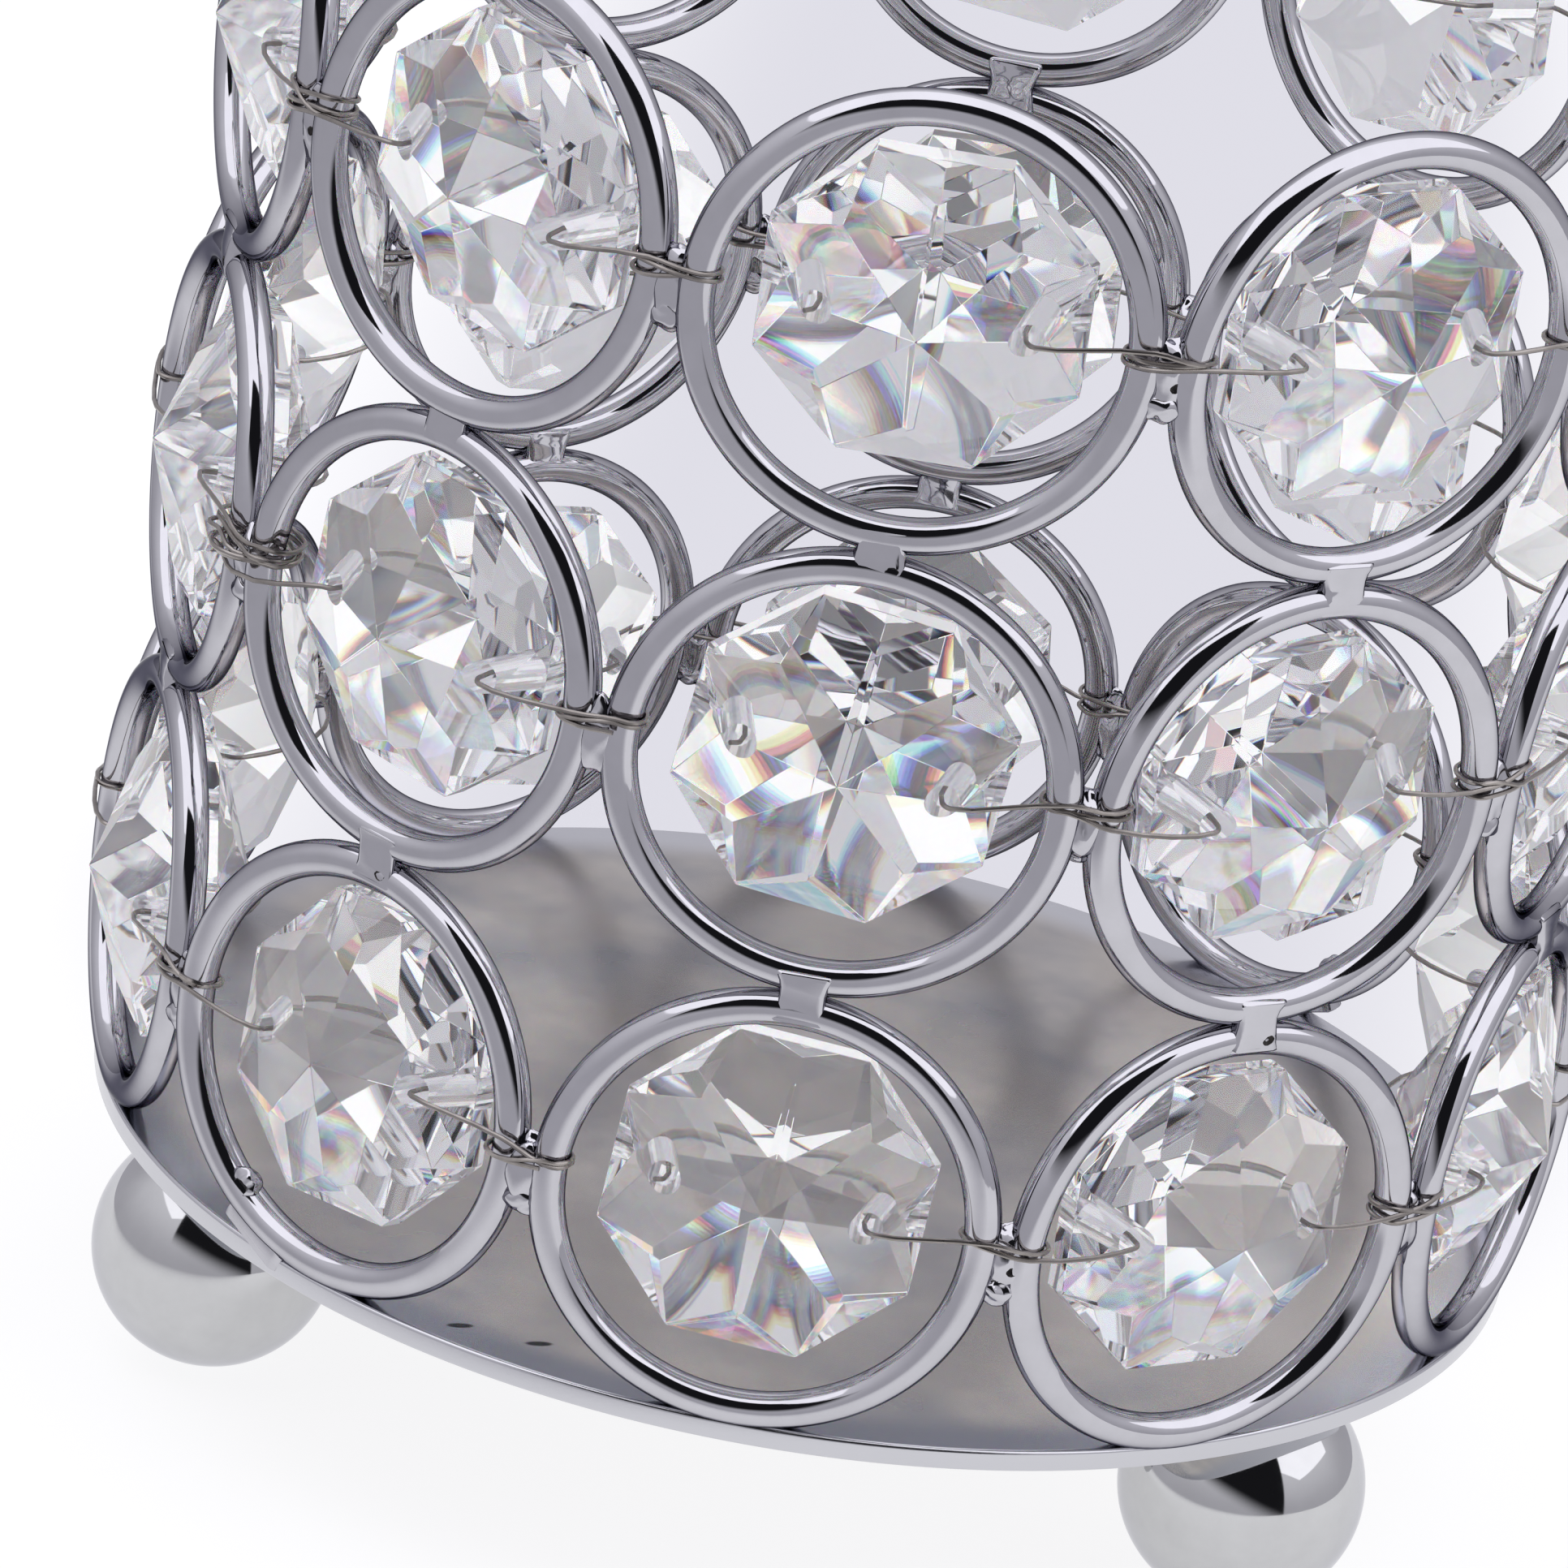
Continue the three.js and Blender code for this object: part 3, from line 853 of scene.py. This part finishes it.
def hang(rule, row, column):
    most, step, start = rule
    return math.radians(most * math.sin(math.radians(start + step * (row * COLUMNS + column))))


def bead_place(row, column):
    return (
        Matrix.Rotation(2 * HALF_COLUMN * column, 4, "Z")
        @ Matrix.Translation((0, BEAD_INSET - WALL_RADIUS, STRING_HEIGHTS[row]))
        @ Matrix.Rotation(hang(ROLL, row, column), 4, "Y")
        @ Matrix.Rotation(hang(LEAN, row, column), 4, "X")
    )


for row, row_name in enumerate(ROWS):
    for column in range(COLUMNS):
        bench = bmesh.new()
        bench.from_mesh(bead_mesh)
        for face in bench.faces:
            face.material_index = 1 if in_a_hole(face) else 0
        upright = Matrix.Rotation(math.pi / 2, 4, "X")
        bmesh.ops.transform(bench, matrix=bead_place(row, column) @ upright, verts=bench.verts)
        turn_outward(bench)
        node = f"bead_{row_name}_{column + 1:02d}"
        name = f"cut_bead_{row_name}_{column + 1:02d}"
        piece = keep_piece(name, bench, [crystal, drilled], node, node, smooth=False)

# %% [markdown]
# ## Stringing wires
#
# One thin wire strings each row. It comes over the front of a bead, goes in at one hole, crosses behind
# the point, comes out at the other hole and is wound round the joint of the two columns before it goes
# on. No two windings are alike, so the number of turns and their looseness change from joint to joint. A
# swept tube could be built face by face. A curve with a round bevel does the same, and bends smoothly
# from point to point.

# %% Route through a bead
WIRE_RADIUS = 0.115
WIRE_LIFT = 0.3
WIRE_BEND = 0.4


def crown_at(x):
    if x < STAR_RADIUS:
        return BEAD_RISE - (BEAD_RISE - STAR_RISE) * x / STAR_RADIUS
    return STAR_RISE - (STAR_RISE - GIRDLE_RISE) * (x - STAR_RADIUS) / (BEAD_APOTHEM - STAR_RADIUS)


def through_bead(row, column):
    lift = WIRE_LIFT + WIRE_RADIUS
    mouth = crown_at(HOLE_X) + lift
    behind = crown_at(HOLE_X - WIRE_BEND) + lift
    right = [
        (HOLE_X + WIRE_BEND, -mouth),
        (HOLE_X, WIRE_BEND - mouth),
        (HOLE_X, mouth - WIRE_BEND),
        (HOLE_X - WIRE_BEND, behind),
    ]
    left = [(-x, y) for x, y in right]
    route = left + [(0, BEAD_RISE + lift)] + right[::-1]
    place = bead_place(row, column)
    return [place @ Vector((x, y, 0)) for x, y in route]


print("route through a bead:", len(through_bead(0, 0)), "points")

# %% Lashing round a joint
LASHING_TURNS = (
    (1, 2, 1, 2, 2, 1, 2, 1, 2, 2),
    (2, 2, 1, 2, 1, 2, 2, 1, 5, 2),
    (2, 1, 2, 1, 2, 2, 1, 2, 3, 2),
)
LASHING_SPREAD = 0.3
LASHING_TILT = 0.3
TILT_SHIFT = 4
TANGLE = 5
SNUG = (0.02, 0.1)
LOOSE = (0.15, 0.85)
STRAY = 0.07
RIGHT_RING = (90, 45, 0, -45, -90)
LEFT_RING = (270, 225, 180, 135, 90)
hand = random.Random(7)


def round_joint(row, column, turns):
    angle = 2 * HALF_COLUMN * column + HALF_COLUMN
    stations = [(1, turn) for turn in RIGHT_RING] + [(-1, turn) for turn in LEFT_RING]
    order = [stations[-1]] + stations * turns + stations[:1]
    tilts = [hand.uniform(-LASHING_TILT, LASHING_TILT) for _ in range(turns + 2)]
    slack = SNUG if turns < TANGLE else LOOSE
    route = []
    for i, (side, turn) in enumerate(order):
        reach = RING_TUBE + WIRE_RADIUS + hand.uniform(*slack)
        along = side * JOINT_HALF + reach * math.cos(math.radians(turn))
        out = JOINT_RADIUS + reach * math.sin(math.radians(turn))
        share = i / (len(order) - 1) - 0.5
        slant = side * tilts[(i + TILT_SHIFT) // len(stations)]
        height = STRING_HEIGHTS[row] - share * LASHING_SPREAD * turns + slant + hand.uniform(-STRAY, STRAY)
        x = out * math.sin(angle) + along * math.cos(angle)
        y = -out * math.cos(angle) + along * math.sin(angle)
        route.append(Vector((x, y, height)))
    return route


print("lashing turns by row:", [sum(turns) for turns in LASHING_TURNS])

# %% Strung and lashed wires
WIRE_DOUBLES = 1e-4


def strung_wire(row):
    route = []
    for column in range(COLUMNS):
        route += through_bead(row, column)
        route += round_joint(row, column, LASHING_TURNS[row][column])
    return route


def drawn_through(name, route):
    curve = bpy.data.curves.new(name, "CURVE")
    curve.dimensions = "3D"
    curve.bevel_depth = WIRE_RADIUS
    curve.bevel_resolution = 2
    curve.use_fill_caps = True
    curve.resolution_u = 4
    spline = curve.splines.new("BEZIER")
    spline.bezier_points.add(len(route) - 1)
    for knot, point in zip(spline.bezier_points, route):
        knot.co = point
        knot.handle_left_type = "AUTO"
        knot.handle_right_type = "AUTO"
    line = bpy.data.objects.new(name, curve)
    scene.collection.objects.link(line)
    ready = line.evaluated_get(bpy.context.evaluated_depsgraph_get())
    mesh = bpy.data.meshes.new_from_object(ready)
    bpy.data.objects.remove(line)
    bench = bmesh.new()
    bench.from_mesh(mesh)
    bpy.data.meshes.remove(mesh)
    return bench


for row, row_name in enumerate(ROWS):
    bench = drawn_through("wire_line", strung_wire(row))
    bmesh.ops.remove_doubles(bench, verts=bench.verts, dist=WIRE_DOUBLES)
    turn_outward(bench)
    node = f"stringing_wire_{row_name}"
    piece = keep_piece(f"strung_wire_{row_name}", bench, [drawn], "stand", node)

# %% [markdown]
# ## Studio
#
# Chrome is only as good as what it mirrors. The holder stands in a light tent: grey cloth walls, a wide
# softbox overhead and, in front, the dark opening that the camera looks through. That opening makes the
# black line beside the white one on every ring. Lamps would leave the chrome empty between them, so the
# tent is painted on the world by direction. Glass sees the tent softer, and the camera itself sees white.

# %% Tent walls and softbox
WALL_LOW = (0.54, 0.535, 0.575, 1)
WALL_HIGH = (0.86, 0.855, 0.90, 1)
WALL_FAR = (0.555, 0.548, 0.59, 1)
ROOF = (0.95, 0.945, 0.99, 1)
SOFTBOX_LIGHT = (1.52, 1.51, 1.58, 1)
SOFTBOX_ACROSS = (-1.18, 1.88, 0.03)
SOFTBOX_DEEP = (-1.05, 0.52, 0.02)
NEAR_ZERO = 0.001

world = bpy.data.worlds.new("light_tent")
scene.world = world
world.use_nodes = True
tree = world.node_tree
tree.nodes.clear()
way = put(tree, "ShaderNodeTexCoord").outputs["Generated"]
split = put(tree, "ShaderNodeSeparateXYZ", {"Vector": way})
x, y, z = split.outputs["X"], split.outputs["Y"], split.outputs["Z"]


def band(value, low, high, soft):
    rising = ease(tree, value, low - soft, low + soft)
    falling = ease(tree, value, high + soft, high - soft)
    return calc(tree, "MULTIPLY", rising, falling)


wall = blend(tree, ease(tree, z, -0.1, 0.75), WALL_LOW, WALL_HIGH)
wall = blend(tree, ease(tree, y, 0.05, 0.7), wall, WALL_FAR)
wall = blend(tree, ease(tree, z, 0.55, 0.85), wall, ROOF)
above = calc(tree, "MAXIMUM", z, NEAR_ZERO)
softbox_across = band(calc(tree, "DIVIDE", x, above), *SOFTBOX_ACROSS)
softbox_deep = band(calc(tree, "DIVIDE", y, above), *SOFTBOX_DEEP)
softbox = calc(tree, "MULTIPLY", softbox_across, softbox_deep)
softbox = calc(tree, "MULTIPLY", softbox, ease(tree, z, 0.02, 0.05))
lit = blend(tree, softbox, wall, SOFTBOX_LIGHT)
print("tent walls and softbox:", len(tree.nodes), "nodes")

# %% Dark opening, and what glass and camera see
OPENING_DARK = (0.012, 0.012, 0.014, 1)
OPENING_ACROSS = (-0.75, 0.92, 0.03)
OPENING_TOP = (1.70, 1.62)
SILL_SLOPE = 0.35
SILL_EASE = (0.02, 0.34)
FRONT_EASE = (-0.05, -0.15)
GLASS_TONE = (0.57, 0.566, 0.61, 1)
GLASS_SHARE = 0.68
SEEN_WHITE = (1, 1, 1, 1)


def inside_glass(tree, rays):
    return calc(tree, "MODULO", rays.outputs["Transmission Depth"], 2.0)


ahead = calc(tree, "MAXIMUM", calc(tree, "MULTIPLY", y, -1.0), NEAR_ZERO)
aside = calc(tree, "DIVIDE", x, ahead)
rise = calc(tree, "DIVIDE", z, ahead)
sill = calc(tree, "ADD", rise, calc(tree, "MULTIPLY", aside, SILL_SLOPE))
opening = calc(tree, "MULTIPLY", band(aside, *OPENING_ACROSS), ease(tree, rise, *OPENING_TOP))
opening = calc(tree, "MULTIPLY", opening, ease(tree, sill, *SILL_EASE))
opening = calc(tree, "MULTIPLY", opening, ease(tree, y, *FRONT_EASE))
tent = blend(tree, opening, lit, OPENING_DARK)
rays = put(tree, "ShaderNodeLightPath")
in_glass = calc(tree, "MAXIMUM", rays.outputs["Is Transmission Ray"], inside_glass(tree, rays))
tent = blend(tree, calc(tree, "MULTIPLY", in_glass, GLASS_SHARE), tent, GLASS_TONE)
seen = blend(tree, rays.outputs["Is Camera Ray"], tent, SEEN_WHITE)
sky = put(tree, "ShaderNodeBackground", {"Color": seen, "Strength": 1.0})
tree.links.new(sky.outputs["Background"], put(tree, "ShaderNodeOutputWorld").inputs["Surface"])
print("whole tent:", len(tree.nodes), "nodes")

# %% [markdown]
# ### White card
#
# The holder stands on a white card that runs out behind it, and a grey shade is painted on the card behind
# the drum, which the metal mirrors as a dark band. A lit sheet would need lamps of its own. This card
# glows a little for the camera, the metal and the glass, and keeps the holder's shadow with a matt coat.
# It fades out towards the front left, so that it has no edge there.

# %% Card in the frame
CARD_LEFT, CARD_RIGHT, CARD_FRONT, CARD_BACK = -160, 330, -160, 520
CARD_DROP = 0.02

card_bench = bmesh.new()
bmesh.ops.create_grid(card_bench, x_segments=1, y_segments=1, size=0.5)
wide, deep = CARD_RIGHT - CARD_LEFT, CARD_BACK - CARD_FRONT
bmesh.ops.scale(card_bench, vec=(wide * MM, deep * MM, 1), verts=card_bench.verts)
middle = Vector(((CARD_LEFT + CARD_RIGHT) / 2, (CARD_FRONT + CARD_BACK) / 2, -CARD_DROP)) * MM
bmesh.ops.translate(card_bench, vec=middle, verts=card_bench.verts)
card = on_bench("white_card", card_bench)
card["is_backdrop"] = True
print(f"card: {wide} x {deep} mm")

# %% Paper of the card
# A grey shade painted on the card behind the drum, nearly black where the metal mirrors it.
SHADE_FRONT = 0.045
SHADE_BACK = 0.2
SHADE_STRETCH = 0.35
SHADE_EASE = (0.048, 0.016)
SHADE_TONE = (0.545, 0.54, 0.60, 1)
SHADE_IN_METAL = (0.02, 0.02, 0.025, 1)
CARD_TONE = (0.82, 0.82, 0.83, 1)
CARD_SEEN = (0.86, 0.86, 0.87, 1)
MATT_TONE = (0.2, 0.2, 0.2, 1)
FADE_WAY = (-0.6, -0.8)
FADE_EASE = (0.04, 0.09)

paper, tree = new_finish("white_card")
spot = put(tree, "ShaderNodeTexCoord").outputs["Object"]
split = put(tree, "ShaderNodeSeparateXYZ", {"Vector": spot})
x, y = split.outputs["X"], split.outputs["Y"]
short = calc(tree, "MAXIMUM", calc(tree, "SUBTRACT", SHADE_FRONT, y), 0.0)
past = calc(tree, "MAXIMUM", calc(tree, "SUBTRACT", y, SHADE_BACK), 0.0)
off = calc(tree, "ADD", short, calc(tree, "MULTIPLY", past, SHADE_STRETCH))
square = calc(tree, "ADD", calc(tree, "MULTIPLY", x, x), calc(tree, "MULTIPLY", off, off))
shade = ease(tree, calc(tree, "SQRT", square), *SHADE_EASE)
rays = put(tree, "ShaderNodeLightPath")
is_camera, is_glossy = rays.outputs["Is Camera Ray"], rays.outputs["Is Glossy Ray"]
in_metal = calc(tree, "SUBTRACT", is_glossy, inside_glass(tree, rays), clamp=True)
shaded = blend(tree, in_metal, SHADE_TONE, SHADE_IN_METAL)
tone = blend(tree, shade, blend(tree, is_camera, CARD_TONE, CARD_SEEN), shaded)
mirrored = calc(tree, "ADD", is_glossy, rays.outputs["Is Transmission Ray"])
shown = calc(tree, "ADD", is_camera, mirrored, clamp=True)
glow = put(tree, "ShaderNodeEmission", {"Color": tone, "Strength": shown})
matt = put(tree, "ShaderNodeBsdfDiffuse", {"Color": MATT_TONE})
white = put(tree, "ShaderNodeAddShader", {0: glow.outputs[0], 1: matt.outputs[0]}).outputs[0]
leftward = calc(tree, "MULTIPLY", x, FADE_WAY[0])
forward = calc(tree, "MULTIPLY", y, FADE_WAY[1])
fade = ease(tree, calc(tree, "ADD", leftward, forward), *FADE_EASE)
clear = put(tree, "ShaderNodeBsdfTransparent").outputs[0]
finish_with(tree, put(tree, "ShaderNodeMixShader", {0: fade, 1: white, 2: clear}).outputs[0])
card.data.materials.append(paper)
print("card finish:", paper.name, "from", len(tree.nodes), "nodes")

# %% [markdown]
# ## Camera
#
# The photograph was taken from a little above, with a long lens and the camera tilted, so the drum leans
# in the picture. The numbers come from matching the joints of the rings with their places in the
# photograph.

# %% Camera as in the photograph
AZIMUTH = math.radians(2.312)
ELEVATION = math.radians(22.209)
TILT = math.radians(9.926)
DISTANCE = 484.3 * MM
ASIDE = -5.449 * MM
BELOW = -9.855 * MM
AIM = Vector((0, 0, 40)) * MM
LENS = 243.25
SENSOR = 36
NEAREST = 0.01

back = Vector(
    (
        math.sin(AZIMUTH) * math.cos(ELEVATION),
        -math.cos(AZIMUTH) * math.cos(ELEVATION),
        math.sin(ELEVATION),
    )
)
level = Vector((math.cos(AZIMUTH), math.sin(AZIMUTH), 0))
raised = back.cross(level)
right = level * math.cos(TILT) + raised * math.sin(TILT)
up = raised * math.cos(TILT) - level * math.sin(TILT)
lens = bpy.data.cameras.new("long_lens")
lens.lens = LENS
lens.sensor_width = SENSOR
lens.clip_start = NEAREST
camera = bpy.data.objects.new("camera", lens)
scene.collection.objects.link(camera)
turn = Matrix((right, up, back)).transposed().to_4x4()
camera.matrix_world = Matrix.Translation(AIM + back * DISTANCE + right * ASIDE + up * BELOW) @ turn
scene.camera = camera
scene.view_settings.view_transform = "Standard"
print("camera at", [round(v, 4) for v in camera.matrix_world.translation])

# %% [markdown]
# ## Sizes
#
# The holder must be as large here as it is in the frame. The last cell prints the box of the finished
# pieces, in millimetres.

# %% Sizes for the record
low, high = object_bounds()
print("visual box in mm:", [round(v / MM, 2) for v in (*low, *high)])
